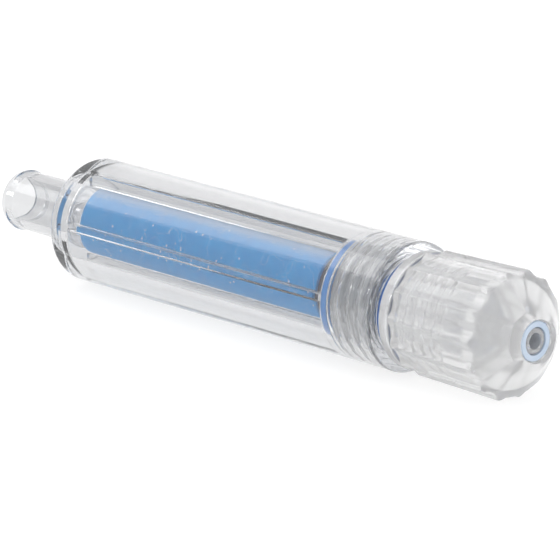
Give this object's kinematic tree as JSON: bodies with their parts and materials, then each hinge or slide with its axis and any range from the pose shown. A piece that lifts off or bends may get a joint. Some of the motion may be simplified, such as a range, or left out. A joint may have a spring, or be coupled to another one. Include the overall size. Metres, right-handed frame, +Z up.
{
  "type": "carbon dioxide diffuser",
  "caption": "Clear screw-together carbon dioxide diffuser with a porous blue core, a hose spigot, and a barbed gas nozzle under a fluted clamp nut.",
  "frame": {"origin": "middle of the object's box, which is on the axis of the tube", "axes": "+X along the tube from the hose spigot towards the gas nozzle, +Z up as the object lies"},
  "size_m": [0.115, 0.02, 0.02],
  "materials": {
    "clear_plastic": "gloss",
    "blue_porous": "matte",
    "dark_rubber": "satin",
    "white_plastic": "satin",
    "blue_silicone": "satin",
    "navy_silicone": "satin",
    "blue_clamp": "satin"
  },
  "bodies": {
    "housing_body": {"housing": "clear_plastic", "plug_seal": "blue_silicone"},
    "cartridge": {"diffuser_core": "blue_porous", "core_end_plug": "blue_porous", "core_gasket": "dark_rubber", "gas_stem": "white_plastic"},
    "plug": {"threaded_plug": "clear_plastic", "flange_seal": "navy_silicone"},
    "clamp": {"hose_clamp_ring": "blue_clamp"},
    "nut": {"clamp_nut": "clear_plastic"}
  },
  "joints": [
    {"name": "cartridge_slide", "type": "slide", "parent": "housing_body", "child": "cartridge", "axis": [1, 0, 0], "range_m": [0, 0.0066]},
    {"name": "plug_turn", "type": "hinge", "parent": "cartridge", "child": "plug", "pos_m": [0, 0, 0], "axis": [1, 0, 0], "range_deg": [0, 1080]},
    {"name": "clamp_slide", "type": "slide", "parent": "plug", "child": "clamp", "axis": [1, 0, 0], "range_m": [0, 0.006]},
    {"name": "nut_turn", "type": "hinge", "parent": "clamp", "child": "nut", "pos_m": [0, 0, 0], "axis": [1, 0, 0], "range_deg": [0, 1080]}
  ],
  "couplings": [
    {"joint": "cartridge_slide", "follows": "plug_turn", "m_per_rad": 0.00035014},
    {"joint": "clamp_slide", "follows": "nut_turn", "m_per_rad": 0.0003183}
  ]
}
